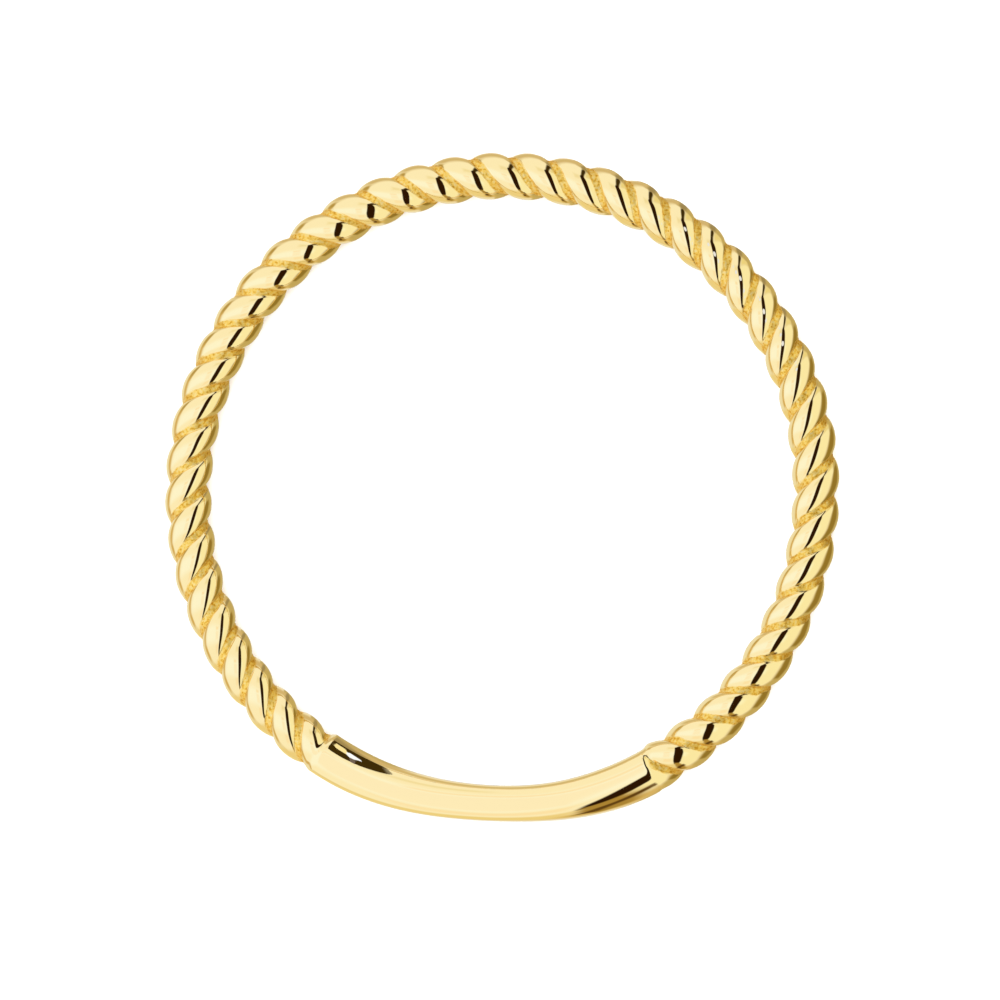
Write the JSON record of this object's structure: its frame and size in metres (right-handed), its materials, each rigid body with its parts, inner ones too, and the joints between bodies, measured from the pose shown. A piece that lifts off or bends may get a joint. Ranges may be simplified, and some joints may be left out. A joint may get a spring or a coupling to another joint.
{
  "type": "twisted rope finger ring",
  "caption": "Slim gold finger ring twisted like a rope, closed by a smooth plain bar that thins towards its middle.",
  "frame": {"origin": "centre of the finger hole, on the surface that the ring rests on when it lies on its side", "axes": "+Z along the finger, square to the hoop's plane; +Y from the origin away from the plain bar, which sits at about 267 degrees from +X; +X to the right of someone looking down on the ring with +Y up"},
  "size_m": [0.0196, 0.0194, 0.0014],
  "materials": {
    "polished_gold": "mirror-polished yellow gold, left as cast in the furrows of the twist"
  },
  "bodies": {
    "root": {"rope_ring": "polished_gold"}
  },
  "joints": []
}
